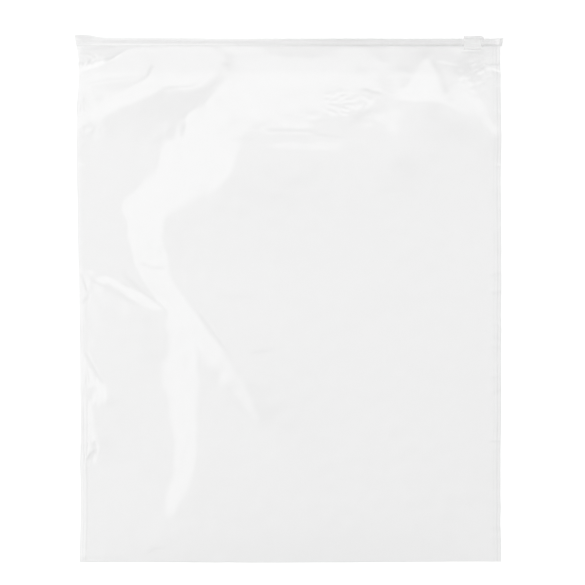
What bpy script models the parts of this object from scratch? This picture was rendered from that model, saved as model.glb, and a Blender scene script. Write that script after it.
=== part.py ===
"""An empty, clear slider-zip bag lying flat: the film bag, its zip and the slider.

Metres, +Z up. The bag lies on z = 0 with its front up, +X runs along the zip to its closed end, +Y runs
from the bag's bottom fold to the zip, and the origin is under the middle of the whole.
"""

import bmesh
import bpy
import numpy as np

MM = 0.001

# Driving dimensions
FILM_LEFT = -150.0 * MM
FILM_RIGHT = 150.9 * MM
FILM_BOTTOM = -187.5 * MM
ZIP_MIDDLE_Y = 182.5 * MM
ZIP_MIDDLE_Z = 2.65 * MM
ZIP_FOOT = 3.20 * MM  # the skirt below it
ZIP_HALF_THICKNESS = 1.30 * MM
SLIDER_LEFT = 124.2 * MM
SLIDER_RIGHT = 136.3 * MM
SLIDER_NOSE_RIGHT = 138.2 * MM  # the ridge along the slider's top runs on past its legs
GAP = 0.3 * MM  # between pieces that touch

# Film
COLUMNS = 54
ROWS = 66
SEAL_THICKNESS = 0.35 * MM
PILLOW = 1.8 * MM  # how far the air left in the bag lifts the front wall
PILLOW_EDGE = 14.0 * MM  # over which distance it rises from a seal
SKIRT_HALF_THICKNESS = 0.30 * MM  # the two walls, flat together just under the zip
SKIRT_START = 9.2 * MM  # below the zip's middle line
SKIRT_BLEND = 18.0 * MM
HEM_RISE = 15.0 * MM  # over which the underside climbs from the table to the zip

# The two long edges aren't straight: how far each stands out of its line, along the bag's height, in mm
LEFT_EDGE = {
    -187: 0.7, -161: 1.5, -87: 1.5, -33: 0.95, 10: 0.4, 42: -0.5, 84: -1.2, 116: -1.6, 138: -1.3,
    148: -0.4, 179: -0.8,
}
RIGHT_EDGE = {
    -187: -0.2, -161: -0.6, -97: -0.4, -22: 0.1, 41: 0.1, 84: -0.4, 116: 0.2, 148: -0.4, 168: -0.8,
    176: -0.9,
}

# The folds of the front wall, in mm. Each is a flank: the way it faces in degrees from +X, its slope, and the
# stations (x, y, half width) of its middle line.
FOLDS = {
    "shoulder": (100, 0.15, [(-144, 160, 4), (-118, 163, 9), (-80, 165, 13), (-42, 167, 8)]),
    "shoulder arm": (125, 0.14, [(-92, 148, 5), (-122, 130, 4), (-148, 116, 5)]),
    "upper middle": (95, 0.07, [(-40, 156, 12), (10, 148, 18), (66, 152, 12)]),
    "diagonal": (135, 0.17, [(-36, 146, 7), (-54, 114, 12), (-76, 88, 13), (-114, 68, 7)]),
    "crossing": (165, 0.15, [(-107, 46, 9), (-102, 14, 13), (-86, -14, 13)]),
    "upright": (180, 0.18, [(-80, -14, 13), (-79, -60, 11), (-80, -120, 10), (-82, -160, 4)]),
    "side arm": (110, 0.15, [(-145, 22, 3), (-116, 6, 4), (-92, -10, 5)]),
    "branch": (150, 0.10, [(-66, -18, 5), (-50, -48, 5), (-36, -76, 4)]),
    "left edge": (185, 0.14, [(-146, -40, 3), (-140, -72, 8), (-146, -112, 4)]),
    "right peak": (75, 0.16, [(99, 170, 3), (96, 155, 9), (94, 143, 14)]),
    "right patch": (80, 0.15, [(122, 156, 5), (127, 134, 9)]),
    "right arm": (60, 0.14, [(112, 139, 3), (134, 129, 3), (148, 117, 3)]),
    "middle dimple": (170, 0.09, [(68, 132, 7), (72, 104, 8)]),
}
FLANK_SOFTNESS = 3.0  # mm over which a flank starts and ends
LARGEST_FOLD = 7.0 * MM

# Zip: half of its section, from the foot (0) to the top lip (1), against the share of the half thickness there
SECTION = [(0.0, 0.36), (0.17, 0.42), (0.23, 1.0), (0.74, 1.0), (0.80, 0.45), (1.0, 0.40)]
# Stations along it, in mm: x, top, foot, share of the thickness, and how far the top leans past the foot
STATIONS = [
    (-151.4, 5.2, 3.2, 0.55, -1.0),
    (-146.0, 5.2, 3.2, 0.50, 0.0),
    (-140.5, 4.7, 3.2, 0.75, 0.0),
    (-134.8, 2.95, 3.2, 1.00, 0.0),
    (145.0, 2.95, 3.2, 1.00, 0.0),
    (149.0, 2.95, 3.2, 0.60, 0.6),
    (151.2, 3.00, 3.2, 0.60, 1.2),
]

# Slider: a clip with the zip in its channel
SLIDER_OUT = 3.95 * MM  # its back above the zip's middle line
SLIDER_DOWN = 5.20 * MM  # its lips below it
SLIDER_HALF_THICKNESS = 2.50 * MM
CHANNEL_TOP = 3.45 * MM
CHANNEL_FOOT = 3.50 * MM
CHANNEL_HALF = 1.60 * MM
MOUTH_HALF = 0.60 * MM
RIDGE_FOOT = 1.75 * MM  # where the ridge's step lies
STEP_DEPTH = 0.25 * MM
SLIDER_ROUNDING = 0.22 * MM
MARGIN = 5.0 * MM  # by which a cutter runs past what it cuts


def clear_scene():
    for obj in list(bpy.data.objects):
        bpy.data.objects.remove(obj, do_unlink=True)


def collection(name):
    found = bpy.data.collections.new(name)
    bpy.context.scene.collection.children.link(found)
    return found


def plastic(name, colour, roughness, alpha=1.0):
    material = bpy.data.materials.new(name)
    material.use_nodes = True
    shader = material.node_tree.nodes["Principled BSDF"]
    shader.inputs["Base Color"].default_value = (*colour, 1.0)
    shader.inputs["Roughness"].default_value = roughness
    shader.inputs["Metallic"].default_value = 0.0
    shader.inputs["Alpha"].default_value = alpha
    return material


def add_object(name, mesh_builder, home, material=None):
    mesh = bpy.data.meshes.new(name)
    bmesh.ops.recalc_face_normals(mesh_builder, faces=mesh_builder.faces)
    mesh_builder.to_mesh(mesh)
    mesh_builder.free()
    obj = bpy.data.objects.new(name, mesh)
    home.objects.link(obj)
    if material:
        mesh.materials.append(material)
    return obj


def cut(obj, cutter):
    cutter.hide_render = True
    cutter.display_type = "WIRE"
    modifier = obj.modifiers.new("cut " + cutter.name, "BOOLEAN")
    modifier.operation = "DIFFERENCE"
    modifier.solver = "EXACT"
    modifier.object = cutter


def prism_along_x(points, left, right):
    """A solid of one section of (y, z) points, from x = left to x = right."""
    bm = bmesh.new()
    face = bm.faces.new([bm.verts.new((left, y, z)) for y, z in points])
    swept = bmesh.ops.extrude_face_region(bm, geom=[face])
    moved = [item for item in swept["geom"] if isinstance(item, bmesh.types.BMVert)]
    bmesh.ops.translate(bm, verts=moved, vec=(right - left, 0, 0))
    return bm


def smooth_step(value):
    share = np.clip(value, 0.0, 1.0)
    return share * share * (3 - 2 * share)


def edge_offset(edge, y):
    return np.interp(y / MM, list(edge), list(edge.values())) * MM


def flank_strength(x, y, stations):
    """1 inside a fold's flank and 0 outside it, for places in mm."""
    strength = np.zeros_like(x)
    for (x0, y0, w0), (x1, y1, w1) in zip(stations, stations[1:]):
        length_squared = (x1 - x0) ** 2 + (y1 - y0) ** 2
        along = np.clip(((x - x0) * (x1 - x0) + (y - y0) * (y1 - y0)) / length_squared, 0, 1)
        distance = np.hypot(x - x0 - along * (x1 - x0), y - y0 - along * (y1 - y0))
        half_width = w0 + along * (w1 - w0)
        strength = np.maximum(strength, smooth_step((half_width - distance) / FLANK_SOFTNESS + 0.5))
    return strength


def settled_height(slope_x, slope_y, step_x, step_y):
    """The surface whose slopes come closest to those asked for, pinned at zero along its edges."""
    wanted = np.gradient(slope_x, step_x, axis=0) + np.gradient(slope_y, step_y, axis=1)
    inner = wanted[1:-1, 1:-1]
    columns, rows = inner.shape
    mirrored = np.zeros((2 * columns + 2, 2 * rows + 2))
    mirrored[1 : columns + 1, 1 : rows + 1] = inner
    mirrored[columns + 2 :, 1 : rows + 1] = -inner[::-1]
    mirrored[:, rows + 2 :] = -mirrored[:, rows:0:-1]
    waves_x = (2 * np.cos(2 * np.pi * np.arange(2 * columns + 2) / (2 * columns + 2)) - 2) / step_x**2
    waves_y = (2 * np.cos(2 * np.pi * np.arange(2 * rows + 2) / (2 * rows + 2)) - 2) / step_y**2
    divisor = waves_x[:, None] + waves_y[None, :]
    divisor[0, 0] = 1.0
    solved = np.real(np.fft.ifft2(np.fft.fft2(mirrored) / divisor))
    height = np.zeros_like(wanted)
    height[1:-1, 1:-1] = solved[1 : columns + 1, 1 : rows + 1]
    return height


def film_heights(x, y, film_top):
    """The front wall's height at each grid place: the air left inside, the folds, the seals and the skirt."""
    slope_x = np.zeros_like(x)
    slope_y = np.zeros_like(x)
    for facing, slope, stations in FOLDS.values():
        strength = slope * flank_strength(x / MM, y / MM, stations)
        slope_x -= strength * np.cos(np.radians(facing))
        slope_y -= strength * np.sin(np.radians(facing))
    step_x = (FILM_RIGHT - FILM_LEFT) / COLUMNS
    step_y = (film_top - FILM_BOTTOM) / ROWS
    folds = settled_height(slope_x, slope_y, step_x, step_y)
    from_seal = np.minimum(np.minimum(x - FILM_LEFT, FILM_RIGHT - x) - step_x, y - FILM_BOTTOM)
    air = PILLOW * (1 - np.exp(-np.maximum(from_seal, 0) / PILLOW_EDGE))
    height = SEAL_THICKNESS + np.clip(air + folds, 0.0, LARGEST_FOLD)
    height[[0, 1, -2, -1], :] = SEAL_THICKNESS
    height[:, 0] = SEAL_THICKNESS
    skirt_height = ZIP_MIDDLE_Z + SKIRT_HALF_THICKNESS
    skirt = smooth_step((y - (ZIP_MIDDLE_Y - SKIRT_START - SKIRT_BLEND)) / SKIRT_BLEND)
    return height * (1 - skirt) + skirt_height * skirt


def build_film(home, cutters):
    """Two walls of film as one low solid, flat underneath, with its top edge held up at the slider's mouth."""
    film_top = ZIP_MIDDLE_Y - ZIP_FOOT - GAP
    bm = bmesh.new()
    bmesh.ops.create_grid(bm, x_segments=COLUMNS, y_segments=ROWS, size=0.5)
    column = [round((vert.co.x + 0.5) * COLUMNS) for vert in bm.verts]
    row = [round((vert.co.y + 0.5) * ROWS) for vert in bm.verts]
    places_x = np.linspace(FILM_LEFT, FILM_RIGHT, COLUMNS + 1)
    places_y = np.linspace(FILM_BOTTOM, film_top, ROWS + 1)
    x, y = np.meshgrid(places_x, places_y, indexing="ij")
    height = film_heights(x, y, film_top)
    across = np.linspace(0, 1, COLUMNS + 1)[:, None]
    x_bent = x + edge_offset(LEFT_EDGE, y) * (1 - across) + edge_offset(RIGHT_EDGE, y) * across
    for vert, i, j in zip(bm.verts, column, row):
        vert.co = (x_bent[i, j], y[i, j], height[i, j])
    rim = [edge for edge in bm.edges if edge.is_boundary]
    hung = bmesh.ops.extrude_edge_only(bm, edges=rim)
    lowered = [item for item in hung["geom"] if isinstance(item, bmesh.types.BMVert)]
    for vert in lowered:
        vert.co.z = 0.0
    bmesh.ops.holes_fill(bm, edges=[edge for edge in bm.edges if edge.is_boundary], sides=0)
    film = add_object("film", bm, home, plastic("clear film", (0.93, 0.94, 0.95), 0.08, 0.35))

    skirt_foot = ZIP_MIDDLE_Y - SKIRT_START
    skirt_underside = ZIP_MIDDLE_Z - SKIRT_HALF_THICKNESS
    wedge = [
        (skirt_foot - HEM_RISE, 0.0),
        (skirt_foot, skirt_underside),
        (film_top + MARGIN, skirt_underside),
        (film_top + MARGIN, -MARGIN),
        (skirt_foot - HEM_RISE, -MARGIN),
    ]
    hollow = prism_along_x(wedge, FILM_LEFT - MARGIN, FILM_RIGHT + MARGIN)
    cut(film, add_object("under the zip", hollow, cutters))
    return film


def build_zip(home):
    """The zip's two tracks pressed together, crushed flat and welded at both ends."""
    outline = SECTION + [(share_up, -share_thick) for share_up, share_thick in reversed(SECTION)]
    last = len(STATIONS) - 1
    bm = prism_along_x(outline, 0, last)
    for place in range(1, last):
        everything = bm.verts[:] + bm.edges[:] + bm.faces[:]
        bmesh.ops.bisect_plane(bm, geom=everything, plane_co=(place, 0, 0), plane_no=(1, 0, 0))
    for vert in bm.verts:
        x, top, foot, thickness, lean = STATIONS[round(vert.co.x)]
        share_up, share_thick = vert.co.y, vert.co.z
        vert.co.x = (x + lean * share_up) * MM
        vert.co.y = ZIP_MIDDLE_Y + (share_up * (top + foot) - foot) * MM
        vert.co.z = ZIP_MIDDLE_Z + share_thick * thickness * ZIP_HALF_THICKNESS
    return add_object("zip", bm, home, plastic("zip track", (0.90, 0.91, 0.92), 0.25, 0.6))


def build_slider(home, cutters):
    """A moulded clip: a back, a leg over each face of the zip, and a lip on each leg under the bead."""
    half = SLIDER_HALF_THICKNESS
    front = [
        (-SLIDER_DOWN, MOUTH_HALF),
        (-SLIDER_DOWN, half - STEP_DEPTH),
        (RIDGE_FOOT, half - STEP_DEPTH),
        (RIDGE_FOOT, half),
        (SLIDER_OUT, half),
    ]
    inside = [
        (CHANNEL_TOP, -CHANNEL_HALF),
        (CHANNEL_TOP, CHANNEL_HALF),
        (-CHANNEL_FOOT, CHANNEL_HALF),
        (-CHANNEL_FOOT, MOUTH_HALF),
    ]
    outline = front + [(y, -z) for y, z in reversed(front)]
    outline += [(-CHANNEL_FOOT, -MOUTH_HALF), (-CHANNEL_FOOT, -CHANNEL_HALF)] + inside
    middle_x = (SLIDER_LEFT + SLIDER_RIGHT) / 2
    clip = prism_along_x(outline, SLIDER_LEFT - middle_x, SLIDER_NOSE_RIGHT - middle_x)
    slider = add_object("slider", clip, home, plastic("slider", (0.88, 0.89, 0.90), 0.22, 0.75))
    slider.location = (middle_x, ZIP_MIDDLE_Y, ZIP_MIDDLE_Z)

    below_ridge = [
        (-SLIDER_DOWN - MARGIN, -half - MARGIN),
        (RIDGE_FOOT, -half - MARGIN),
        (RIDGE_FOOT, half + MARGIN),
        (-SLIDER_DOWN - MARGIN, half + MARGIN),
    ]
    trimmer = prism_along_x(below_ridge, SLIDER_RIGHT - middle_x, SLIDER_NOSE_RIGHT - middle_x + MARGIN)
    end_cutter = add_object("past the legs", trimmer, cutters)
    end_cutter.location = slider.location
    cut(slider, end_cutter)
    rounding = slider.modifiers.new("rounding", "BEVEL")
    rounding.width = SLIDER_ROUNDING
    rounding.segments = 2
    rounding.limit_method = "ANGLE"
    return slider


clear_scene()
bag_parts = collection("slider zip bag")
bag_cutters = collection("cutters")
build_film(bag_parts, bag_cutters)
build_zip(bag_parts)
build_slider(bag_parts, bag_cutters)
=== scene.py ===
import math

import bmesh
import bpy
import numpy as np
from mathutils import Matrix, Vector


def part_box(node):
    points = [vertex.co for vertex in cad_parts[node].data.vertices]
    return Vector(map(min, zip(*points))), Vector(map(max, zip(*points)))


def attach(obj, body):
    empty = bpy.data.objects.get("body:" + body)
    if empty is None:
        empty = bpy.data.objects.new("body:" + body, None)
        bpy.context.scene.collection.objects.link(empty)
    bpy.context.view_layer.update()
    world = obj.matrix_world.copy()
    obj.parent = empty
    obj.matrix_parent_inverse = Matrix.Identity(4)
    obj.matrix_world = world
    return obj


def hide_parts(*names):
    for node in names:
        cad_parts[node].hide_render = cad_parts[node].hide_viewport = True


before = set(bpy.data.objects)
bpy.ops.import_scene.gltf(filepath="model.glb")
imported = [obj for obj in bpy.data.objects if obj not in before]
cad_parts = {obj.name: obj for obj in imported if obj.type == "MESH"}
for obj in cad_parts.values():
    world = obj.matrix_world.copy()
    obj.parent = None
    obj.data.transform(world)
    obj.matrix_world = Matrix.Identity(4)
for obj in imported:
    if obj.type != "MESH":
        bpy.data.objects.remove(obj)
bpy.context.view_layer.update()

# ---------------------------------------------------------------- film, front wall
# The front of the bag: one wall of clear polyethylene film, 0.06 mm thick, blown as a tube and laid flat.
# It has no stiffness of its own, so the little air inside leaves it in long soft folds, each a flank that
# leans one way and falls back slowly on its other side. Its long sides are welded to the back wall.
MM = 0.001
film_low, film_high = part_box("film")
zip_low, zip_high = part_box("zip")
FILM_LEFT = -150.0
FILM_RIGHT = 150.9
FILM_BOTTOM = film_low.y / MM
FILM_TOP = film_high.y / MM
SEAL_BAND = 3.6
SEAL_HEIGHT = 0.12
# Each wall laps on to the zip, a little out from the zip's middle, and comes down from there in a short skirt
ZIP_MIDDLE_Y = 182.5
ZIP_MIDDLE_Z = (zip_low.z + zip_high.z) / 2 / MM
LAP = 1.2
LAP_OUT = 0.46
WALL_TOP = FILM_TOP + LAP
SKIRT_BLEND = 12.0
SKIRT_BLEND_AT_CORNERS = 14.0
CORNER = 14.0
# The air's height up the bag, and how far in from the seals and from the bottom fold it is reached, in mm
AIR_HEIGHT = {20: 1.3, 150: 2.8}
AIR_SIDE = 40.0
AIR_BOTTOM = 16.0
# Pockets where more air is caught: the middle, the radii and the height in mm
POCKETS = [((130, 127), (14, 13), 1.3), ((-120, 10), (24, 9), 0.9), ((-74, 160), (24, 14), 1.8)]
POCKET_FADE = 6.0

# How far the two long edges stand out of their lines, along the height of the bag
LEFT_EDGE = {
    -187: 0.7, -172: 1.0, -161: 1.5, -129: 1.5, -118: 1.0, -108: 1.4, -87: 1.5, -65: 1.2, -33: 0.95,
    -11: 0.7, 10: 0.4, 20: 0.1, 31: -0.2, 42: -0.5, 63: -0.6, 74: -0.8, 84: -1.2, 106: -1.3, 116: -1.6,
    127: -1.3, 138: -1.3, 148: -0.4, 159: 0.05, 170: -0.15, 174: -0.35, 179: -1.2,
}
RIGHT_EDGE = {
    -187: -0.2, -172: -0.2, -161: -0.65, -150: -0.35, -140: -0.55, -108: -0.5, -97: -0.3, -87: -0.1,
    -33: -0.2, -22: 0.15, -12: -0.35, 10: 0.15, 41: 0.1, 63: -0.2, 84: -0.4, 95: -0.3, 106: 0.1, 116: 0.2,
    127: -0.1, 148: -0.4, 159: -0.3, 168: -0.75, 176: -0.9,
}
# The bottom fold bows a little along the width of the bag, and the film just above it follows
BOTTOM_EDGE = {
    -150: -0.15, -110: -0.1, -75: -0.38, -20: -0.6, 10: -0.5, 50: -0.33, 85: 0.0, 120: 0.2, 150: 0.2,
}
BOTTOM_BOW_FADE = 60.0

# Each fold is the outline of one leaning flank: the way it faces in degrees, its slope, how softly its edge
# turns over in mm, and its corners in mm
FLANKS = {
    "upper arm": (105, 0.075, 3, [
        (-151, 165), (-130, 166), (-123, 171), (-114, 176), (-104, 179), (-97, 179), (-98, 168),
        (-101, 162), (-103, 159), (-116, 158), (-133, 156), (-143, 154.5), (-151, 153),
    ]),
    "shoulder": (95, 0.07, 2, [
        (-99, 179), (-54, 179), (-49, 174), (-46, 169), (-51, 161), (-56, 155), (-60, 150.5), (-73, 148.5),
        (-88, 149.5), (-94, 147), (-100, 155), (-99.5, 162), (-97, 168),
    ]),
    "lower arm": (115, 0.09, 2.5, [
        (-99, 156), (-116, 147), (-131, 139.5), (-139.5, 134), (-151, 131), (-151, 121), (-136, 129),
        (-126, 134.5), (-116, 138.5), (-106, 142.5), (-94, 149.5),
    ]),
    "upper middle": (95, 0.055, 3, [
        (-44, 179), (-18, 179), (-16, 173), (-8, 171.5), (20, 171), (33, 172), (37, 177), (49, 178),
        (57, 176), (65, 169), (70, 167), (69, 161), (64, 158), (65, 148), (66, 145), (61, 138), (57, 135),
        (48, 133), (42, 136), (34, 131), (24, 131), (17, 126), (14, 119.5), (-18, 120), (-26, 127),
        (-32, 140), (-46, 153), (-41, 163), (-39, 170),
    ]),
    "diagonal": (130, 0.085, 4, [
        (-46, 153), (-52, 148), (-58, 141), (-59, 135), (-70, 130), (-73.5, 126), (-71, 122), (-73, 116),
        (-84, 111), (-90, 106), (-91, 99), (-94, 90), (-101, 83), (-109, 77), (-117, 74), (-119, 69),
        (-121, 61), (-112, 59.5), (-98, 60), (-88, 58), (-80, 62), (-73, 68), (-63, 73), (-50, 78),
        (-41, 88), (-37, 98), (-34, 106), (-31, 115), (-26, 127), (-32, 140),
    ]),
    "crossing": (180, 0.085, 2, [
        (-124, 44), (-111, 46), (-97, 47), (-91.5, 45), (-89, 38), (-87, 29), (-86, 19), (-80, 8),
        (-74, -2), (-68, -11), (-68, -24), (-86, -20), (-87, -8), (-92, -3), (-100, 4), (-109, 11),
        (-117, 19), (-118, 26), (-115, 33), (-115, 40),
    ]),
    "between": (150, 0.04, 3, [
        (-118, 63), (-98, 62), (-88, 60), (-89, 44), (-97, 45), (-111, 44), (-121, 44),
    ]),
    "upright": (180, 0.09, 4, [
        (-87, -12), (-68, -11), (-68, -34), (-66.7, -51), (-66.2, -61), (-67.2, -81), (-67.2, -106),
        (-69, -121), (-71, -130), (-75, -140), (-82, -149), (-87, -157), (-89, -143), (-87, -135),
        (-84, -128), (-82, -111), (-82, -97), (-85, -90), (-87, -79), (-88, -65), (-92, -54), (-92, -45),
        (-86, -43), (-84, -34), (-86, -24), (-89, -19),
    ]),
    "branch": (194, 0.095, 3, [
        (-69, -10), (-64, -16), (-58, -24), (-48, -36), (-41, -48), (-34, -58), (-28, -68), (-24, -80),
        (-22, -88), (-28, -86), (-34, -76), (-42, -66), (-51, -61), (-50, -55), (-58, -46), (-64, -40),
        (-67, -32),
    ]),
    "side arm": (63, 0.14, 2.0, [
        (-150, 22), (-143, 26), (-137, 28), (-136, 22), (-126, 21), (-119, 16), (-112, 10), (-104, 4),
        (-96, -2), (-92, -6), (-88, -8.5), (-98, -8.5), (-106, -5), (-116, 2), (-123, 5), (-131, 10),
        (-139, 13), (-144, 17),
    ]),
    "left patch": (195, 0.07, 1.5, [
        (-151, -36), (-145, -44), (-141, -53), (-135, -60), (-132, -65), (-130, -75), (-137, -77),
        (-143, -73), (-139, -66), (-146, -62), (-151, -62),
    ]),
    "left strip": (180, 0.07, 1.5, [
        (-151, -66), (-146, -66), (-141, -81), (-141, -92), (-139.5, -101), (-142, -110), (-151, -110),
    ]),
    "peak": (88, 0.11, 1.0, [
        (99, 172), (93, 165), (91, 159), (85, 151), (79, 147), (78.5, 141), (110, 139.5), (110, 143),
        (109.5, 151), (107, 159), (102, 167),
    ]),
    "right patch": (66, 0.10, 1.5, [
        (117, 147), (118.5, 152), (125, 158), (130, 151), (131.5, 144), (137, 142), (139, 136), (134, 130),
        (129, 129.5), (119, 134), (111, 138.5), (116, 141),
    ]),
    "right patch arm": (60, 0.11, 1.5, [
        (136, 141), (141, 132), (147, 122), (151, 117), (151, 110), (147, 114), (141, 122), (134, 131),
    ]),
    "dimple": (150, 0.055, 4, [(54, 130), (70, 132), (77, 120), (75, 104), (68, 102), (57, 116)]),
    "streak": (90, 0.058, 1.5, [(-18, 110), (15, 111), (38, 112), (38, 106), (24, 105), (-8, 106)]),
    "pocket": (90, 0.05, 1.5, [(114, 178), (125, 178), (128, 173), (118, 172)]),
}
# The outlines wander by this much in mm, over about this length
WANDER = 0.45
WANDER_LENGTH = 22
# Off the flanks the film leans less than this to the left and upwards, and nowhere more than the steepest
MOST_LEFT = {-150: 0.020, -110: 0.020, -70: 0.030, 150: 0.055}
MOST_UP = {-187: 0.06, 60: 0.042, 120: 0.026, 180: 0.008}
STEEPEST = {-190: 0.13, 160: 0.13, 172: 0.40, 190: 0.40}
ROUNDS = 110
OVERSHOOT = 1.5
# Fine ripples of the whole wall: the height and the wavelength in mm, and a seed
SMALL_RIPPLES = [(0.020, 16, 21), (0.003, 5, 22)]
RIPPLE_FADE = 8.0

# Each sharp crease: its half width and height in mm, how much painted shade darkens the film along it, and
# its points in mm
CREASES = {
    "pinch": (0.9, 0.18, 0.6, [(-97.5, 167), (-100, 162), (-102, 157)]),
    "under the upper arm": (1.2, -0.08, 0.3, [(-149, 152), (-133, 155), (-116, 157), (-103, 158)]),
    "under the shoulder": (1.0, -0.08, 0.25, [(-93, 147.5), (-84, 149.5), (-70, 150), (-62, 153)]),
    "wedge side": (1.0, -0.08, 0.4, [(-50, 149), (-54, 146), (-58, 141), (-62, 138)]),
    "shoulder spot": (1.6, -0.10, 0.45, [(-46, 167), (-42, 164), (-44, 160)]),
    "middle line": (1.3, -0.08, 0.35, [(-18, 118.7), (0, 119), (15, 118.5), (22, 117)]),
    "second line": (1.2, -0.06, 0.3, [(-41, 112.5), (-32, 113.5), (-24, 112.5)]),
    "third line": (0.9, -0.06, 0.35, [(16, 116), (28, 115.5), (40, 113.5)]),
    "dark crease": (1.1, 0.16, 0.8, [(51, 149.3), (56, 148.6), (60, 147), (67, 146)]),
    "right of the middle": (2.5, -0.10, 0.25, [(76, 163), (85, 161), (84, 157)]),
    "peak side": (2.2, -0.16, 0.6, [(101, 170), (105, 164), (109, 153), (112.5, 142)]),
    "corner fold": (0.9, 0.2, 0.3, [(131, 160.5), (136, 163), (141, 166.5)]),
    "corner tick": (0.9, 0.22, 0.0, [(131, 165), (136, 168), (140, 170)]),
    "under the slider": (0.9, 0.16, 0.5, [(122, 175.5), (129, 175), (141, 173.5)]),
    "corner line": (0.8, 0.14, 0.1, [
        (102, 168.5), (112, 166.5), (119, 165), (126, 161), (133, 159), (140, 158),
    ]),
    "corner cross": (0.8, 0.12, 0.2, [(125, 170), (131, 161), (131, 150)]),
    "tick": (0.8, 0.22, 0.0, [(-128.6, 79), (-129.2, 76), (-130, 72.5)]),
    "edge tick": (1.2, 0.18, 0.0, [(-149, 95), (-144, 93.5)]),
    "crossing spot": (1.3, -0.12, 0.45, [(-101, 38.5), (-98, 38)]),
    "crossing line": (0.9, -0.12, 0.5, [(-106, 27), (-103, 24), (-98, 21.8), (-87, 21.7)]),
    "beside the side arm": (1.4, -0.12, 0.35, [(-119, 24), (-117, 16), (-110, 9), (-102, 2), (-93, -5)]),
    "below the side arm": (1.3, -0.08, 0.25, [(-149, 19), (-139, 11.5), (-131, 8), (-116, 0), (-108, -6)]),
    "upper line": (0.8, 0.06, 0.0, [(-124, 46), (-110, 46.5), (-96, 48)]),
    "level line": (0.9, 0.05, 0.25, [(-53, 1.5), (-36, 1), (-18, 1)]),
    "short line": (0.8, 0.07, 0.35, [(-13, 73.9), (-1, 73.6)]),
    "short tick": (0.9, 0.10, 0.0, [(-12, 27.2), (-1, 27.4)]),
    "beside the branch": (0.9, -0.14, 0.5, [(-66, -8), (-58, -20), (-48, -33), (-43, -39)]),
    "branch foot": (0.8, 0.10, 0.0, [(-64, -41), (-58, -47), (-50, -56)]),
    "dark line": (1.0, -0.07, 0.45, [(-29, -39), (-20, -38), (-12, -36.5)]),
    "beside the left patch": (0.9, -0.12, 0.5, [(-147.5, -36), (-143, -44), (-137, -55), (-131, -62)]),
    "left hook": (0.8, 0.14, 0.6, [(-139, -62.5), (-144, -65), (-146.5, -71)]),
    "left knot": (0.9, 0.20, 0.8, [(-139, -107), (-144, -112.5), (-147, -115)]),
    "notch top": (0.8, 0.10, 0.7, [(-149, 19), (-146, 8), (-143.5, 2.6)]),
    "notch foot": (0.8, 0.10, 0.7, [(-143.5, 2.6), (-149, -4)]),
    "long level line": (0.9, 0.035, 0.12, [(55, -1), (75, 0), (100, -0.5), (135, 0)]),
    "faint line": (0.9, 0.03, 0.12, [(60, 78), (72, 76.5), (80, 79)]),
    "faint dimple": (3.5, 0.10, 0.0, [(100, 77), (104, 75)]),
    "faint level line": (1.0, 0.03, 0.0, [(95, 92), (112, 91.5)]),
    "bottom left line": (0.9, -0.05, 0.5, [(-102, -182), (-97, -178), (-91, -178.5)]),
    "bottom right tick": (0.9, 0.10, 0.0, [(85, -183.5), (95, -183)]),
}
# Short puckers across the side seals: the place along the bag, the length inwards, the slant and the height,
# in mm
LEFT_PUCKERS = [
    (140, 5, 2, 0.12), (118, 6, -2, 0.12), (103, 4, 1, 0.08), (72, 7, 0, 0.10), (58, 4, 1, 0.08),
    (36, 8, 5, 0.14), (28, 7, 4, 0.12), (-12, 5, 1, 0.10), (-26, 4, -1, 0.14), (-48, 6, -2, 0.14),
    (-70, 5, 2, 0.14), (-88, 7, -1, 0.16), (-104, 9, 2, 0.20), (-117, 8, -4, 0.20), (-124, 5, 2, 0.14),
    (-139, 4, 0, 0.10), (-158, 4, 1, 0.10), (-176, 6, 3, 0.12),
]
RIGHT_PUCKERS = [
    (160, 8, 3, 0.12), (150, 5, 0, 0.10), (131, 6, 4, 0.12), (94, 5, 1, 0.18), (64, 4, -1, 0.08),
    (47, 6, 1, 0.12), (35, 5, 1, 0.08), (19, 9, -1, 0.26), (12, 5, 1, -0.14), (6, 9, -1, 0.26),
    (-14, 9, 4, 0.16), (-20, 8, 5, 0.14), (-28, 9, 3, 0.2), (-34, 11, 1, 0.2), (-41, 7, 4, 0.12),
    (-54, 8, -2, 0.2), (-64, 9, -3, 0.22), (-72, 5, -1, 0.14), (-101, 9, 1, 0.26), (-106, 7, -3, 0.14),
    (-124, 6, 3, 0.10), (-146, 13, 5, 0.10), (-163, 7, 1, 0.2), (-171, 8, 2, 0.18),
]
PUCKER_WIDTH = 1.1

# Across each side seal, the distance in from the edge of each line that the sealing bar leaves, and its
# strength, which darkens the film along it: partly the fused film's own thickness, partly painted shade
LEFT_SEAL_LINES = {0.2: 0.6, 2.2: 0.8, 4.4: 0.8}
RIGHT_SEAL_LINES = {0.3: 1.0, 2.7: 1.0, 5.2: 0.4}
SEAL_LINE_WIDTH = 0.5
SEAL_LINE_HEIGHT = 0.05
# The left seal's lines are pressed hardest in its lower part, where it also curls up from the table
LEFT_SEAL_PRESSED = {-190: 1.0, -70: 1.0, -60: 0.3, 190: 0.15}
LEFT_SEAL_RISE = {-190: 0.40, -70: 0.40, -60: 0.1, 190: 0.05}
# The dark line along the bottom fold is painted shade: its half width in mm and its strength
BOTTOM_FOLD_WIDTH = 0.5
BOTTOM_FOLD_SHADE = 0.8
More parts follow.
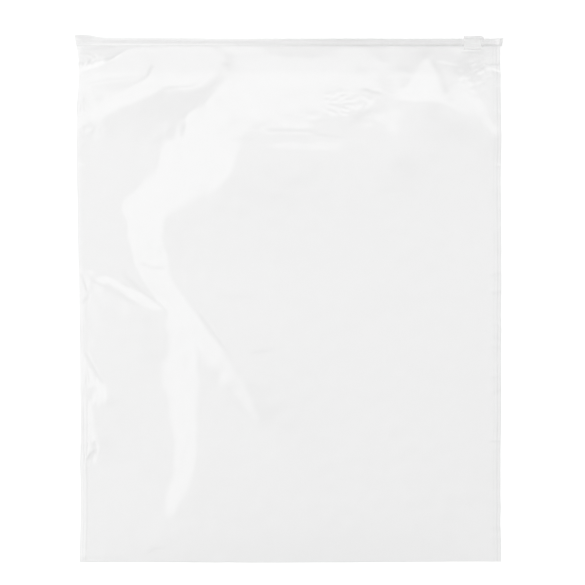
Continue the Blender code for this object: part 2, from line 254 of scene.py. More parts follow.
# Patches of fine crumpling: the middle, the radii, the wavelength and the height in mm, and a seed
CRUMPLES = [
    ((36, 138), (11, 9), 8, 0.17, 31), ((55, 134), (7, 12), 10, 0.09, 32),
    ((2, 126), (32, 6), 14, 0.04, 33), ((133, 163), (12, 13), 11, 0.14, 34),
    ((100, 155), (10, 10), 13, 0.05, 39), ((-119, 12), (28, 9), 11, 0.10, 35),
    ((-99, 33), (14, 12), 13, 0.06, 36), ((-143, -108), (7, 8), 9, 0.14, 37),
    ((-142, 175), (9, 9), 9, 0.12, 45), ((-142, 128), (8, 30), 14, 0.04, 38),
    ((-75, 115), (24, 30), 18, 0.05, 42), ((-78, -60), (10, 60), 16, 0.04, 43),
    ((-140, -65), (9, 14), 10, 0.07, 44),
]
CRUMPLE_STEPS = (1.1, 0.87)

# The folds settle on an even grid, and the wall's own grid is finer at its sides, bottom and upper part
SOLVE_COLUMNS = 288
SOLVE_ROWS = 338
EDGE_BAND = 6.0
EDGE_COLUMNS = 17
INNER_COLUMNS = 262
BOTTOM_BAND = 3.0
BOTTOM_ROWS = 9
LOWER_ROWS = 202
UPPER_START = 88.0
UPPER_ROWS = 116


def smooth_step(value):
    share = np.clip(value, 0.0, 1.0)
    return share * share * (3 - 2 * share)


def from_table(table, place):
    return np.interp(place, list(table), list(table.values()))


def inside_outline(x, y, corners):
    """How far each place lies inside an outline, in mm, and below zero outside it."""
    crossings = np.zeros(x.shape, dtype=int)
    for (x0, y0), (x1, y1) in zip(corners, corners[1:] + corners[:1]):
        if y0 != y1:
            spans = (y0 > y) != (y1 > y)
            crossings += spans & (x < x0 + (y - y0) * (x1 - x0) / (y1 - y0))
    nearest, _ = beside_line(x, y, corners + corners[:1])
    return np.where(crossings % 2, nearest, -nearest)


def beside_line(x, y, points):
    """How far each place lies from a line through the points, and how far along it the nearest point is."""
    nearest, reached, run = np.full_like(x, 1e9), np.zeros_like(x), 0.0
    for (x0, y0), (x1, y1) in zip(points, points[1:]):
        run_x, run_y = x1 - x0, y1 - y0
        length = math.hypot(run_x, run_y)
        along = np.clip(((x - x0) * run_x + (y - y0) * run_y) / length**2, 0, 1)
        distance = np.hypot(x - x0 - along * run_x, y - y0 - along * run_y)
        reached = np.where(distance < nearest, run + along * length, reached)
        nearest = np.minimum(nearest, distance)
        run += length
    return nearest, reached / run


def from_middle(x, y, middle, radii):
    """How far each place lies from the middle of an oval patch, as a share of its radii."""
    return np.hypot((x - middle[0]) / radii[0], (y - middle[1]) / radii[1])


def settled_height(slope_x, slope_y, step_x, step_y):
    """The surface whose slopes come closest to those asked for, pinned at zero along its edges."""
    wanted = np.gradient(slope_x, step_x, axis=0) + np.gradient(slope_y, step_y, axis=1)
    inner = wanted[1:-1, 1:-1]
    columns, rows = inner.shape
    mirrored = np.zeros((2 * columns + 2, 2 * rows + 2))
    mirrored[1 : columns + 1, 1 : rows + 1] = inner
    mirrored[columns + 2 :, 1 : rows + 1] = -inner[::-1]
    mirrored[:, rows + 2 :] = -mirrored[:, rows:0:-1]
    turns_x = 2 * np.pi * np.arange(2 * columns + 2) / (2 * columns + 2)
    turns_y = 2 * np.pi * np.arange(2 * rows + 2) / (2 * rows + 2)
    waves_x = (2 * np.cos(turns_x) - 2) / step_x**2
    waves_y = (2 * np.cos(turns_y) - 2) / step_y**2
    divisor = waves_x[:, None] + waves_y[None, :]
    divisor[0, 0] = 1.0
    solved = np.real(np.fft.ifft2(np.fft.fft2(mirrored) / divisor))
    height = np.zeros_like(wanted)
    height[1:-1, 1:-1] = solved[1 : columns + 1, 1 : rows + 1]
    return height


def ripples(shape, steps, wavelength, seed):
    """Seeded smooth noise of about that wavelength in mm, with a spread of 1."""
    draw = np.random.default_rng(seed).standard_normal(shape)
    frequency_x = np.fft.fftfreq(shape[0], steps[0])
    frequency_y = np.fft.fftfreq(shape[1], steps[1])
    frequency = np.hypot(frequency_x[:, None], frequency_y[None, :])
    kept = np.exp(-(((frequency * wavelength) - 1) ** 2) / 0.18)
    made = np.real(np.fft.ifft2(np.fft.fft2(draw) * kept))
    return made / made.std()


def spaced(*stretches):
    """Places along a line, from its stretches of start, end and number of steps."""
    runs = [np.linspace(start, end, count, endpoint=False) for start, end, count in stretches]
    return np.append(np.concatenate(runs), stretches[-1][1])


def resampled(values, old_places, new_places):
    """Values along the first axis, read at new places by a smooth curve through the old ones."""
    place = (new_places - old_places[0]) / (old_places[1] - old_places[0])
    base = np.clip(np.floor(place).astype(int), 1, len(old_places) - 3)
    t = (place - base)[:, None]
    before, start, end, after = (values[base + step] for step in (-1, 0, 1, 2))
    bend = 2 * before - 5 * start + 4 * end - after + t * (3 * (start - end) + after - before)
    return start + 0.5 * t * (end - before + t * bend)


# The film at rest over the air, and where each flank lies and leans
solve_x = np.linspace(FILM_LEFT, FILM_RIGHT, SOLVE_COLUMNS + 1)
solve_y = np.linspace(FILM_BOTTOM, WALL_TOP, SOLVE_ROWS + 1)
x, y = np.meshgrid(solve_x, solve_y, indexing="ij")
steps = (solve_x[1] - solve_x[0], solve_y[1] - solve_y[0])
from_seal = np.maximum(np.minimum(x - FILM_LEFT, FILM_RIGHT - x) - SEAL_BAND, 0)
side_share = 1 - np.exp(-from_seal / AIR_SIDE)
bottom_share = 1 - np.exp((FILM_BOTTOM - y) / AIR_BOTTOM)
air = from_table(AIR_HEIGHT, y) * side_share * bottom_share
for middle, radii, height in POCKETS:
    pocket = height * np.exp(-(from_middle(x, y, middle, radii) ** 2))
    air = air + pocket * smooth_step(from_seal / POCKET_FADE)
corner_share = np.exp(-((from_seal / CORNER) ** 2))
skirt_blend = SKIRT_BLEND + (SKIRT_BLEND_AT_CORNERS - SKIRT_BLEND) * corner_share
skirt = smooth_step((y - (FILM_TOP - skirt_blend)) / skirt_blend)
resting = (SEAL_HEIGHT + air) * (1 - skirt) + (ZIP_MIDDLE_Z + LAP_OUT) * skirt
wander_x = WANDER * ripples(x.shape, steps, WANDER_LENGTH, seed=11)
wander_y = WANDER * ripples(x.shape, steps, WANDER_LENGTH, seed=12)
on_flank = np.zeros_like(x)
face_x, face_y, lean = np.zeros_like(x), np.zeros_like(x), np.zeros_like(x)
for facing, slope, softness, corners in FLANKS.values():
    share = smooth_step(inside_outline(x + wander_x, y + wander_y, corners) / softness + 0.5)
    stronger = share > on_flank
    on_flank = np.where(stronger, share, on_flank)
    face_x = np.where(stronger, math.cos(math.radians(facing)), face_x)
    face_y = np.where(stronger, math.sin(math.radians(facing)), face_y)
    lean = np.where(stronger, slope, lean)

# The film is let down round by round: each place takes the nearest lean that it may have, and the whole wall
# then takes the height that comes closest to those leans, held at its seals and at the zip
most_left = from_table(MOST_LEFT, x)
most_up = from_table(MOST_UP, y)
steepest = from_table(STEEPEST, y)
resting_x, resting_y = np.gradient(resting, *steps)
settled = resting.copy()
for _ in range(ROUNDS):
    lean_x, lean_y = (-slope for slope in np.gradient(settled, *steps))
    more = np.maximum(lean - lean_x * face_x - lean_y * face_y, 0)
    loose_x, loose_y = np.maximum(lean_x, -most_left), np.minimum(lean_y, most_up)
    eased = np.minimum(1, steepest / np.maximum(np.hypot(loose_x, loose_y), 1e-6))
    may_x = on_flank * (lean_x + more * face_x) + (1 - on_flank) * loose_x * eased
    may_y = on_flank * (lean_y + more * face_y) + (1 - on_flank) * loose_y * eased
    closest = resting + settled_height(-may_x - resting_x, -may_y - resting_y, *steps)
    settled = np.maximum(settled + OVERSHOOT * (closest - settled), SEAL_HEIGHT)
rippled = sum(size * ripples(x.shape, steps, wavelength, seed) for size, wavelength, seed in SMALL_RIPPLES)
lap_share = smooth_step((WALL_TOP - y) / (2 * LAP) - 0.5)
settled = settled + rippled * smooth_step(from_seal / RIPPLE_FADE) * lap_share

# The wall itself, with its curled seal, crumples, creases and seal lines
place_x = spaced(
    (FILM_LEFT, FILM_LEFT + EDGE_BAND, EDGE_COLUMNS),
    (FILM_LEFT + EDGE_BAND, FILM_RIGHT - EDGE_BAND, INNER_COLUMNS),
    (FILM_RIGHT - EDGE_BAND, FILM_RIGHT, EDGE_COLUMNS),
)
place_y = spaced(
    (FILM_BOTTOM, FILM_BOTTOM + BOTTOM_BAND, BOTTOM_ROWS),
    (FILM_BOTTOM + BOTTOM_BAND, UPPER_START, LOWER_ROWS),
    (UPPER_START, WALL_TOP, UPPER_ROWS),
)
front_height = resampled(resampled(settled, solve_x, place_x).T, solve_y, place_y).T
x, y = np.meshgrid(place_x, place_y, indexing="ij")
from_left, from_right, from_bottom = x - FILM_LEFT, FILM_RIGHT - x, y - FILM_BOTTOM
curl = smooth_step(from_left / SEAL_BAND) - smooth_step((from_left - SEAL_BAND) / AIR_SIDE)
front_height = front_height + from_table(LEFT_SEAL_RISE, y) * curl * smooth_step(from_bottom / SEAL_BAND)
for middle, radii, wavelength, height, seed in CRUMPLES:
    facets = np.abs(ripples(x.shape, CRUMPLE_STEPS, wavelength, seed))
    front_height = front_height - height * facets * smooth_step(1.5 - from_middle(x, y, middle, radii))

creases = list(CREASES.values())
for edge, inwards, puckers in ((FILM_LEFT, 1, LEFT_PUCKERS), (FILM_RIGHT, -1, RIGHT_PUCKERS)):
    for place, length, slant, height in puckers:
        outer_end = (edge - inwards * length, place - slant)
        inner_end = (edge + inwards * length, place + slant)
        creases.append((PUCKER_WIDTH, height, 0.0, [outer_end, inner_end]))
# The dark lines along the creases are painted shade, put in the film's layer of shade and thickness
shade_and_thickness = np.zeros_like(x)
for half_width, height, crease_shade, points in creases:
    distance, along = beside_line(x, y, points)
    towards_ends = smooth_step(5 * np.minimum(along, 1 - along) + 0.1)
    profile = np.exp(-((distance / half_width) ** 2)) * towards_ends
    front_height = front_height + height * profile
    shade_and_thickness = np.maximum(shade_and_thickness, crease_shade * profile)
seal_wear = 0.75 + 0.25 * np.sin(y / 3.1) * np.sin(y / 7.7 + 1)
seals = (
    (from_left, LEFT_SEAL_LINES, from_table(LEFT_SEAL_PRESSED, y)),
    (from_right, RIGHT_SEAL_LINES, 1),
)
# The seal lines darken the film, partly for the fused film's thickness and partly as painted shade
for from_edge, lines, pressed in seals:
    for place, strength in lines.items():
        line = pressed * np.exp(-(((from_edge - place) / SEAL_LINE_WIDTH) ** 2))
        shade_and_thickness = np.maximum(shade_and_thickness, strength * seal_wear * line)
        front_height = front_height + SEAL_LINE_HEIGHT * strength * line
# The bottom fold's dark line: painted shade
bottom_fold = np.exp(-((from_bottom / BOTTOM_FOLD_WIDTH) ** 2))
shade_and_thickness = np.maximum(shade_and_thickness, BOTTOM_FOLD_SHADE * bottom_fold)
front_height = np.maximum(front_height, SEAL_HEIGHT)

across = (x - FILM_LEFT) / (FILM_RIGHT - FILM_LEFT)
wall_x = x + from_table(LEFT_EDGE, y) * (1 - across) + from_table(RIGHT_EDGE, y) * across
wall_y = y + from_table(BOTTOM_EDGE, x) * smooth_step(1 - from_bottom / BOTTOM_BOW_FADE)


def new_grid(columns, rows):
    """A grid of that many faces each way, its layer for painted shade and thickness, and its vertices'
    columns and rows.
    """
    bm = bmesh.new()
    bmesh.ops.create_grid(bm, x_segments=columns, y_segments=rows, size=0.5)
    shade_and_thick = bm.verts.layers.float.new("shade_and_thickness")
    verts = [(v, round((v.co.x + 0.5) * columns), round((v.co.y + 0.5) * rows)) for v in bm.verts]
    return bm, shade_and_thick, verts


def new_piece(name, bm):
    """The finished mesh as an object of the scene, shaded smooth."""
    mesh = bpy.data.meshes.new(name)
    bm.to_mesh(mesh)
    bm.free()
    mesh.shade_smooth()
    piece = bpy.data.objects.new(name, mesh)
    bpy.context.scene.collection.objects.link(piece)
    return piece


def film_wall(name, height, shade_and_thickness):
    """One wall of film from its heights in mm over the grid, and its share of painted shade and thickening at
    each place.
    """
    bm, shade_and_thick, verts = new_grid(len(place_x) - 1, len(place_y) - 1)
    for vert, i, j in verts:
        vert.co = (wall_x[i, j] * MM, wall_y[i, j] * MM, height[i, j] * MM)
        vert[shade_and_thick] = shade_and_thickness[i, j]
    return new_piece(name, bm)


def set_inputs(tree, node, inputs):
    """Sets a node's sockets, or joins them to what feeds them."""
    for socket, value in inputs.items():
        if isinstance(value, bpy.types.NodeSocket):
            tree.links.new(value, node.inputs[socket])
        else:
            node.inputs[socket].default_value = value


def new_node(tree, kind, inputs=None, **settings):
    """The outputs of a new node, set up and joined to what feeds it."""
    node = tree.nodes.new(kind)
    for setting, value in settings.items():
        setattr(node, setting, value)
    set_inputs(tree, node, inputs or {})
    return node.outputs


def grey(level):
    return (level, level, level, 1)


def fine_grain(tree, scale, roughness, strength, depth, detail=2.0):
    """The grain of a finish: its roughness, between two values, and its normal, for a bump so deep in mm."""
    place = new_node(tree, "ShaderNodeTexCoord")["Object"]
    grain = new_node(tree, "ShaderNodeTexNoise", {"Vector": place, "Scale": scale, "Detail": detail})["Fac"]
    spread = {"Value": grain, "To Min": roughness[0], "To Max": roughness[1]}
    bump = {"Height": grain, "Strength": strength, "Distance": depth * MM}
    rough = new_node(tree, "ShaderNodeMapRange", spread)["Result"]
    bumped = new_node(tree, "ShaderNodeBump", bump)["Normal"]
    return rough, bumped


def clear_plastic(name, reflectance, grazing, roughness, tint, shade_and_thick_tint):
    """Thin clear plastic: what isn't reflected at its faces goes through, and less where its layer of painted
    shade and thickness is set.
    """
    material = bpy.data.materials.new(name)
    material.use_nodes = True
    tree = material.node_tree
    tree.nodes.clear()
    facing = new_node(tree, "ShaderNodeLayerWeight", {"Blend": 0.5})["Facing"]
    steep = new_node(tree, "ShaderNodeMath", {0: facing, 1: 5.0}, operation="POWER")["Value"]
    reflected = {0: steep, 1: grazing - reflectance, 2: reflectance}
    share = new_node(tree, "ShaderNodeMath", reflected, operation="MULTIPLY_ADD")["Value"]
    rough, bumped = fine_grain(tree, 220.0, roughness, strength=0.15, depth=0.02, detail=3.0)
    gloss_inputs = {"Color": grey(1), "Roughness": rough, "Normal": bumped}
    gloss = new_node(tree, "ShaderNodeBsdfGlossy", gloss_inputs)["BSDF"]
    # Its layer of painted shade and thickness darkens the light that goes through
    shade_and_thick = new_node(tree, "ShaderNodeAttribute", attribute_name="shade_and_thickness")["Fac"]
    tints = {"Factor": shade_and_thick, 6: grey(tint), 7: grey(shade_and_thick_tint)}
    through = new_node(tree, "ShaderNodeMix", tints, data_type="RGBA")[2]
    open_part = new_node(tree, "ShaderNodeBsdfTransparent", {"Color": through})["BSDF"]
    mixed = new_node(tree, "ShaderNodeMixShader", {"Fac": share, 1: open_part, 2: gloss})["Shader"]
    new_node(tree, "ShaderNodeOutputMaterial", {"Surface": mixed})
    return material


film_material = clear_plastic("clear_film", 0.077, 0.9, (0.08, 0.16), tint=0.967, shade_and_thick_tint=0.915)
front_wall = film_wall("film_front", front_height, shade_and_thickness)
front_wall.data.materials.append(film_material)
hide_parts("film")
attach(front_wall, "bag")

# ---------------------------------------------------------------- film, back wall
# The back of the bag, the same film. It lies on the table and only lifts a hair where the front pulls at it,
# and rises over its last 22 mm to the back track of the zip.
HEM_RISE = 22.0
BACK_LIFT = 0.06
BACK_WAVES = 0.03
WALLS_APART = 0.05
# The back wall takes this share of the front wall's painted shade and thickness
BACK_SHADE_SHARE = 0.3
waves = 1 + np.sin(x / 19 + 2 * np.sin(y / 47)) * np.sin(y / 23 + np.sin(x / 31))
hem = smooth_step((y - (FILM_TOP - HEM_RISE)) / HEM_RISE)
back_height = (BACK_LIFT + BACK_WAVES * waves) * (1 - hem) + (ZIP_MIDDLE_Z - LAP_OUT) * hem
back_height = np.minimum(back_height, front_height - WALLS_APART)
back_wall = film_wall("film_back", back_height, BACK_SHADE_SHARE * shade_and_thickness)
back_wall.data.materials.append(film_material)
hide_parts("film")
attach(back_wall, "bag")

# ---------------------------------------------------------------- zip
# Two extruded strips of clear polyethylene, one welded to each wall: a rib on the front one is pressed into
# a groove on the back one, and a lip of each stands free above them. At both ends they are crushed flat,
# welded together and cut off with the side seal.
FRONT_TRACK = [
    (2.95, 0.10), (2.95, 0.32), (2.85, 0.40), (2.15, 0.44), (1.97, 0.52), (1.84, 0.80), (1.66, 1.10),
    (1.34, 1.26), (0.70, 1.30), (-0.70, 1.30), (-1.34, 1.26), (-1.68, 1.08), (-1.84, 0.76), (-1.98, 0.48),
    (-2.20, 0.42), (-3.20, 0.36), (-3.20, 0.10), (-1.05, 0.10), (-0.86, -0.42), (-0.64, -0.50),
    (0.64, -0.50), (0.86, -0.42), (1.05, 0.10),
]
BACK_TRACK = [
    (2.95, -0.10), (1.30, -0.10), (1.12, -0.60), (-1.12, -0.60), (-1.30, -0.10), (-3.20, -0.10),
    (-3.20, -0.36), (-2.20, -0.42), (-1.98, -0.48), (-1.84, -0.76), (-1.68, -1.08), (-1.34, -1.26),
    (-0.70, -1.30), (0.70, -1.30), (1.34, -1.26), (1.66, -1.10), (1.84, -0.80), (1.97, -0.52),
    (2.15, -0.44), (2.85, -0.40), (2.95, -0.32),
]
SECTION_LIP = 2.95
SECTION_BEAD = 1.84
SECTION_FOOT = 3.20
BACK_LIP_SHORT = 0.35
ZIP_LEFT = -151.4
ZIP_RIGHT = 151.2
ZIP_STEP = 1.2
# Along the zip, in mm: how far the lip stands up, where the bead begins and ends, the share of the thickness
# that is left, the roll in degrees, and how far the end leans over
LIP_REACH = {
    -152: 5.2, -146: 5.2, -140: 4.7, -134.5: 3.4, -105: 3.35, -90: 3.25, -74: 3.05, -56: 2.75, -20: 2.6,
    15: 2.5, 50: 2.6, 86: 2.5, 118: 2.5, 146: 2.5, 149: 2.7, 151: 3.2,
}
BEAD_TOP = {-152: 2.3, -134: 1.5, -60: 1.35, 0: 0.9, 50: 0.9, 62: 1.5, 118: 1.65, 152: 1.8}
BEAD_FOOT = {-152: -1.9, -134: -0.7, -60: -0.9, 0: -1.9, 50: -2.2, 118: -2.35, 146: -2.4, 151: -2.9}
THICKNESS = {
    -152: 0.50, -146: 0.42, -141: 0.60, -135: 1.0, 46: 1.0, 50: 0.62, 60: 0.55, 64: 1.0, 146: 1.0,
    149: 0.62, 152: 0.50,
}
ROLL = {-150: 0.0, -132: -5.0, 0: -3.0, 40: 0.0, 152: 0.0}
END_LEAN = {-151.4: -1.0, -146: 0.0, 145: 0.0, 149: 0.6, 151.2: 1.2}
CRUSH = 0.35
CRUSH_SIDEWAYS = 0.3
# Along it too, the painted shade that stands in for the light that the plastic bends away: how dark the solid
# bead, its rounded edges, the flange, its foot and the lip look, and where in the section each of them lies
BEAD_DARK = {
    -152: 0.6, -143: 0.5, -132: 0.72, -30: 0.75, 10: 0.45, 60: 0.5, 118: 0.5, 145: 0.45, 148.9: 0.25,
    149.9: 1.3,
}
BEAD_EDGE_DARK = {
    -152: 0.6, -143: 0.35, -132: 0.4, -30: 0.5, 10: 0.8, 60: 0.95, 145: 0.95, 148.9: 0.5, 149.9: 1.3,
}
FLANGE_DARK = {
    -152: 0.4, -143: 0.35, -132: 0.35, 0: 0.4, 60: 0.4, 118: 0.5, 145: 0.5, 148.9: 0.2, 149.9: 1.3,
}
FOOT_DARK = {-152: 0.2, -143: 0.0, -132: 0.0, 0: 0.1, 60: 0.35, 118: 0.5, 145: 0.5, 148.9: 0.2, 149.9: 1.3}
LIP_DARK = {
    -152: 0.9, -140: 0.65, -132: 0.5, -30: 0.52, 10: 0.95, 60: 1.2, 145: 1.2, 148.9: 0.8, 149.9: 1.5,
}
DARK_ACROSS = [
    (-3.2, FOOT_DARK), (-2.3, FLANGE_DARK), (-1.9, BEAD_EDGE_DARK), (-1.4, BEAD_EDGE_DARK), (-1.0, BEAD_DARK),
    (1.0, BEAD_DARK), (1.4, BEAD_EDGE_DARK), (1.9, BEAD_EDGE_DARK), (2.1, LIP_DARK),
]
track_places = np.linspace(ZIP_LEFT, ZIP_RIGHT, round((ZIP_RIGHT - ZIP_LEFT) / ZIP_STEP) + 1)


def zip_track(name, outline, lip_short, seed):
    """One strip of the zip, drawn from its outline in mm and shaped along its length."""
    last, around = len(track_places) - 1, len(outline)
    crumple = np.random.default_rng(seed).normal(0, CRUSH, (last + 1, around + 1))
    crumple[:, around] = crumple[:, 0]
    bm, shade_and_thick, verts = new_grid(last, around)
    for vert, i, j in verts:
        place = track_places[i]
        section_up, out = outline[j % around]
        up_share = max(section_up, 0) / SECTION_LIP
        levels = [-SECTION_FOOT] + [from_table(table, place) for table in (BEAD_FOOT, BEAD_TOP, LIP_REACH)]
        levels[-1] -= lip_short
        up = np.interp(section_up, (-SECTION_FOOT, -SECTION_BEAD, SECTION_BEAD, SECTION_LIP), levels)
        thinned = from_table(THICKNESS, place)
        out *= thinned
        crushed = (1 - thinned) * crumple[i, j]
        roll = math.radians(from_table(ROLL, place))
        lean = from_table(END_LEAN, place) * (up + SECTION_FOOT) / (SECTION_FOOT + SECTION_LIP)
        side = up * math.cos(roll) - out * math.sin(roll) + CRUSH_SIDEWAYS * crushed * up_share
        lift = up * math.sin(roll) + out * math.cos(roll) + crushed * up_share
        vert.co = ((place + lean) * MM, (ZIP_MIDDLE_Y + side) * MM, (ZIP_MIDDLE_Z + lift) * MM)
        # The painted shade at this place of the section, in the strip's layer of shade and thickness
        darkness = {at: from_table(table, place) for at, table in DARK_ACROSS}
        vert[shade_and_thick] = from_table(darkness, section_up)
    bmesh.ops.remove_doubles(bm, verts=bm.verts, dist=1e-6)
    bmesh.ops.holes_fill(bm, edges=[edge for edge in bm.edges if edge.is_boundary], sides=0)
    bmesh.ops.recalc_face_normals(bm, faces=bm.faces)
    if bm.calc_volume(signed=True) < 0:
        bmesh.ops.reverse_faces(bm, faces=bm.faces)
    strip = new_piece(name, bm)
    strip.data.set_sharp_from_angle(angle=math.radians(28))
    return strip


zip_material = clear_plastic("zip_plastic", 0.04, 0.35, (0.16, 0.24), tint=0.998, shade_and_thick_tint=0.945)
tracks = (
    zip_track("zip_front_track", FRONT_TRACK, 0.0, seed=41),
    zip_track("zip_back_track", BACK_TRACK, BACK_LIP_SHORT, seed=41),
)
for track in tracks:
    track.data.materials.append(zip_material)
    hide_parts("zip")
    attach(track, "bag")

# ---------------------------------------------------------------- slider
# One moulded clip, snapped over the zip: a ridged back above the lip, a leg down each face, and a lip on each
# leg that hooks under the bead. A nose on the ridge runs on past the legs, and would part the zip's lips when
# the clip is pulled back.
slider_low, slider_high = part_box("slider")
SLIDER_LEFT = slider_low.x / MM
NOSE_RIGHT = slider_high.x / MM
LEGS_RIGHT = 136.3
BACK_UP = slider_high.y / MM - ZIP_MIDDLE_Y
HOOK_DOWN = ZIP_MIDDLE_Y - slider_low.y / MM
RIDGE_OUT = (slider_high.z - slider_low.z) / 2 / MM
RIDGE_STEP = 0.28
FACE_OUT = RIDGE_OUT - RIDGE_STEP
# Where the ridge stands out from the face, with a fine crease at its foot
RIDGE_FOOT = 1.75
RIDGE_SLOPE = 0.1
RIDGE_CREASE = 0.03
CREASE_RUN = 0.25
# The hollow that the zip runs in, and the mouth between the hooks
CHANNEL_TOP = 3.45
CHANNEL_FOOT = 3.50
CHANNEL_HALF = 1.60
MOUTH_HALF = 0.60
# A fine line pressed across each face
FACE_LINE = -1.05
LINE_HALF = 0.16
LINE_DEPTH = 0.12
NOSE_ROUNDING = 1.9
EDGE_ROUNDING = 0.17
SAME_PLACE = 1e-6
# The plastic's grey on the faces, and a darker grey on the solid ridge and the crease at its foot, painted
# shade for the light that the thick plastic holds back, with the step between them in mm
FACE_GREY = 0.71
RIDGE_SHADED_GREY = 0.63
RIDGE_SHADE_BELOW = 0.35
RIDGE_SHADE_ABOVE = 0.05


def slider_outline():
    """The clip's section, going round it from the front hook."""
    front = [
        (-HOOK_DOWN, MOUTH_HALF), (-HOOK_DOWN, FACE_OUT), (FACE_LINE - LINE_HALF, FACE_OUT),
        (FACE_LINE, FACE_OUT - LINE_DEPTH), (FACE_LINE + LINE_HALF, FACE_OUT),
        (RIDGE_FOOT - CREASE_RUN, FACE_OUT), (RIDGE_FOOT, FACE_OUT - RIDGE_CREASE),
        (RIDGE_FOOT + RIDGE_SLOPE, RIDGE_OUT), (BACK_UP, RIDGE_OUT),
    ]
    inside = [(-CHANNEL_FOOT, MOUTH_HALF), (-CHANNEL_FOOT, CHANNEL_HALF), (CHANNEL_TOP, CHANNEL_HALF)]
    back = [(up, -out) for up, out in reversed(front)]
    inside_back = [(up, -out) for up, out in inside]
    return front + back + inside_back + inside[::-1]


def draw_out(bm, faces, length):
    """Extrudes the faces along the zip, by a length in mm."""
    swept = bmesh.ops.extrude_face_region(bm, geom=faces)
    moved = [item for item in swept["geom"] if isinstance(item, bmesh.types.BMVert)]
    bmesh.ops.translate(bm, verts=moved, vec=(length * MM, 0, 0))


bm = bmesh.new()
section = [bm.verts.new((SLIDER_LEFT * MM, up * MM, out * MM)) for up, out in slider_outline()]
draw_out(bm, [bm.faces.new(section)], LEGS_RIGHT - SLIDER_LEFT)
everything = bm.verts[:] + bm.edges[:] + bm.faces[:]
bmesh.ops.bisect_plane(bm, geom=everything, plane_co=(0, RIDGE_FOOT * MM, 0), plane_no=(0, 1, 0), dist=1e-7)
above_foot = (RIDGE_FOOT - 0.02) * MM
nose_faces = [
    face for face in bm.faces
    if all(abs(v.co.x - LEGS_RIGHT * MM) < SAME_PLACE and v.co.y > above_foot for v in face.verts)
]
draw_out(bm, nose_faces, NOSE_RIGHT - LEGS_RIGHT)
bmesh.ops.recalc_face_normals(bm, faces=bm.faces)
nose_corner = [
    edge for edge in bm.edges
    if all(math.dist(v.co.xy, (NOSE_RIGHT * MM, BACK_UP * MM)) < SAME_PLACE for v in edge.verts)
]
bmesh.ops.bevel(
    bm, geom=nose_corner, offset=NOSE_ROUNDING * MM, affect="EDGES", segments=8, profile=0.5, material=-1
)
bmesh.ops.translate(bm, verts=bm.verts, vec=(0, ZIP_MIDDLE_Y * MM, ZIP_MIDDLE_Z * MM))
slider = new_piece("slider_clip", bm)
rounding = slider.modifiers.new("rounded edges", "BEVEL")
rounding.width = EDGE_ROUNDING * MM
rounding.segments = 3
rounding.limit_method = "ANGLE"
rounding.angle_limit = math.radians(35)
rounding.harden_normals = True

slider_material = bpy.data.materials.new("slider_plastic")
slider_material.use_nodes = True
slider_tree = slider_material.node_tree
slider_place = new_node(slider_tree, "ShaderNodeTexCoord")["Object"]
up_the_clip = new_node(slider_tree, "ShaderNodeSeparateXYZ", {0: slider_place})["Y"]
# The ridge and the crease below it are painted darker: painted shade for the light that the solid plastic
# holds back
shade_starts = (ZIP_MIDDLE_Y + RIDGE_FOOT - RIDGE_SHADE_BELOW) * MM
shade_ends = (ZIP_MIDDLE_Y + RIDGE_FOOT + RIDGE_SHADE_ABOVE) * MM
ridge_range = {"Value": up_the_clip, "From Min": shade_starts, "From Max": shade_ends}
shaded_ridge = new_node(slider_tree, "ShaderNodeMapRange", ridge_range)["Result"]
slider_greys = {"Factor": shaded_ridge, 6: grey(FACE_GREY), 7: grey(RIDGE_SHADED_GREY)}
slider_colour = new_node(slider_tree, "ShaderNodeMix", slider_greys, data_type="RGBA")[2]
slider_rough, slider_bumped = fine_grain(slider_tree, 900.0, (0.24, 0.32), strength=0.2, depth=0.03)
set_inputs(slider_tree, slider_tree.nodes["Principled BSDF"], {
    "Base Color": slider_colour,
    "Roughness": slider_rough,
    "Normal": slider_bumped,
    "IOR": 1.5,
    "Alpha": 0.5,
})
slider.data.materials.append(slider_material)
# The pale plastic passes on the light that falls on it, so the table beside it stays as bright
slider.visible_shadow = False
slider.visible_diffuse = False
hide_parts("slider")
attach(slider, "slider")

# ---------------------------------------------------------------- table, light and camera
# A pale table in a light tent: two keys at the sides light the table, the tent's top gives the film its even
# grey, and soft panels on the left and beyond the zip, each with a second one behind it for a graded edge,
# show in the folds that lean towards them.
TABLE_HALF = 14.0
TABLE_GREY = 0.90
bm = bmesh.new()
bmesh.ops.create_grid(bm, x_segments=1, y_segments=1, size=TABLE_HALF)
table = new_piece("table", bm)
table_material = bpy.data.materials.new("pale_table")
table_material.use_nodes = True
table_tree = table_material.node_tree
table_rough, table_bumped = fine_grain(table_tree, 40.0, (0.85, 0.95), strength=0.1, depth=0.05)
set_inputs(table_tree, table_tree.nodes["Principled BSDF"], {
    "Base Color": grey(TABLE_GREY),
    "Roughness": table_rough,
    "Normal": table_bumped,
    "Specular IOR Level": 0.1,
})
table.data.materials.append(table_material)

LEFT_PANEL_SIZE = (1.4, 2.8)
TOP_PANEL_SIZE = (2.1, 1.2)
PANEL_HEIGHT = 3.0
BEHIND_HEIGHT = PANEL_HEIGHT + 0.01
KEY_SIZE = (2.0, 2.0)


def panel(name, centre, size, radiance, aimed=False):
    """A soft light panel of that radiance, unseen by the camera: it hangs level, or is aimed at the bag."""
    light = bpy.data.lights.new(name, "AREA")
    light.shape = "RECTANGLE"
    light.size, light.size_y = size
    light.energy = radiance * math.pi * size[0] * size[1]
    hung = bpy.data.objects.new(name, light)
    hung.location = centre
    if aimed:
        hung.rotation_euler = (-hung.location).to_track_quat("-Z", "Y").to_euler()
    hung.visible_camera = False
    bpy.context.scene.collection.objects.link(hung)


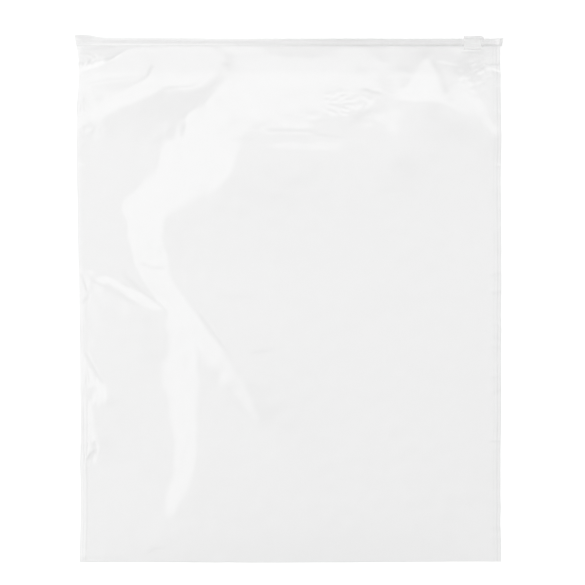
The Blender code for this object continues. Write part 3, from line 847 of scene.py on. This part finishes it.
panel("left panel", (-1.15, 0.2, PANEL_HEIGHT), LEFT_PANEL_SIZE, 0.47)
panel("top panel", (0.6, 1.1, PANEL_HEIGHT), TOP_PANEL_SIZE, 0.50)
panel("far left panel", (-1.35, 0.2, BEHIND_HEIGHT), LEFT_PANEL_SIZE, 0.15)
panel("far top panel", (0.6, 1.28, BEHIND_HEIGHT), TOP_PANEL_SIZE, 0.18)
panel("left key", (-3.2, 1.0, 2.4), KEY_SIZE, 7.2, aimed=True)
panel("right key", (3.2, 1.0, 2.4), KEY_SIZE, 4.1, aimed=True)

# The tent: its top is grey but for a darker gap across it on the near side, and its walls are dim
TOP_GREY = 0.62
GAP_DARKER = 0.44
WALL_GREY = 0.35
ACROSS_THE_GAP = (-0.35, 1.0, 0)
world = bpy.data.worlds.new("studio")
bpy.context.scene.world = world
world.use_nodes = True
world_tree = world.node_tree


def world_range(value, places, levels):
    """A smooth step from one level to the other, between two places."""
    inputs = {"Value": value}
    inputs.update(zip(("From Min", "From Max", "To Min", "To Max"), places + levels))
    return new_node(world_tree, "ShaderNodeMapRange", inputs, interpolation_type="SMOOTHSTEP")["Result"]


def world_math(operation, *values):
    return new_node(world_tree, "ShaderNodeMath", dict(enumerate(values)), operation=operation)["Value"]


direction = new_node(world_tree, "ShaderNodeTexCoord")["Generated"]
upwards = new_node(world_tree, "ShaderNodeSeparateXYZ", {0: direction})["Z"]
along_tent = {0: direction, 1: ACROSS_THE_GAP}
forwards = new_node(world_tree, "ShaderNodeVectorMath", along_tent, operation="DOT_PRODUCT")["Value"]
gap_far_side = world_range(forwards, (-0.19, -0.02), (-GAP_DARKER, 0.0))
gap_near_side = world_range(forwards, (-0.36, -0.24), (0.0, 1.0))
overhead = world_math("MULTIPLY_ADD", gap_far_side, gap_near_side, TOP_GREY)
above_floor = world_range(upwards, (0.46, 0.62), (0.0, WALL_GREY))
below_top = world_range(upwards, (0.72, 0.9), (1.0, 0.0))
tent = world_math("ADD", overhead, world_math("MULTIPLY", above_floor, below_top))
seen = new_node(world_tree, "ShaderNodeLightPath")["Is Camera Ray"]
backdrop = new_node(world_tree, "ShaderNodeMix", {"Factor": seen, "A": tent, "B": 1.0})["Result"]
set_inputs(world_tree, world_tree.nodes["Background"], {"Color": grey(1), "Strength": backdrop})

CAMERA_LENS = 250.0
SENSOR_WIDTH = 36.0
# The width of the table in view, in metres, and the place that the camera hangs over, in mm
VIEW_WIDTH = 0.4164
CAMERA_X = 2.3
CAMERA_Y = 4.2
camera_data = bpy.data.cameras.new("camera")
camera_data.lens = CAMERA_LENS
camera_data.sensor_width = SENSOR_WIDTH
camera_data.clip_end = 100.0
camera = bpy.data.objects.new("camera", camera_data)
camera.location = (CAMERA_X * MM, CAMERA_Y * MM, VIEW_WIDTH * CAMERA_LENS / SENSOR_WIDTH)
bpy.context.scene.collection.objects.link(camera)
bpy.context.scene.camera = camera
bpy.context.scene.view_settings.view_transform = "Standard"
# Light that passes the slider and the zip crosses up to fourteen clear faces each way
bpy.context.scene.cycles.transparent_max_bounces = 40
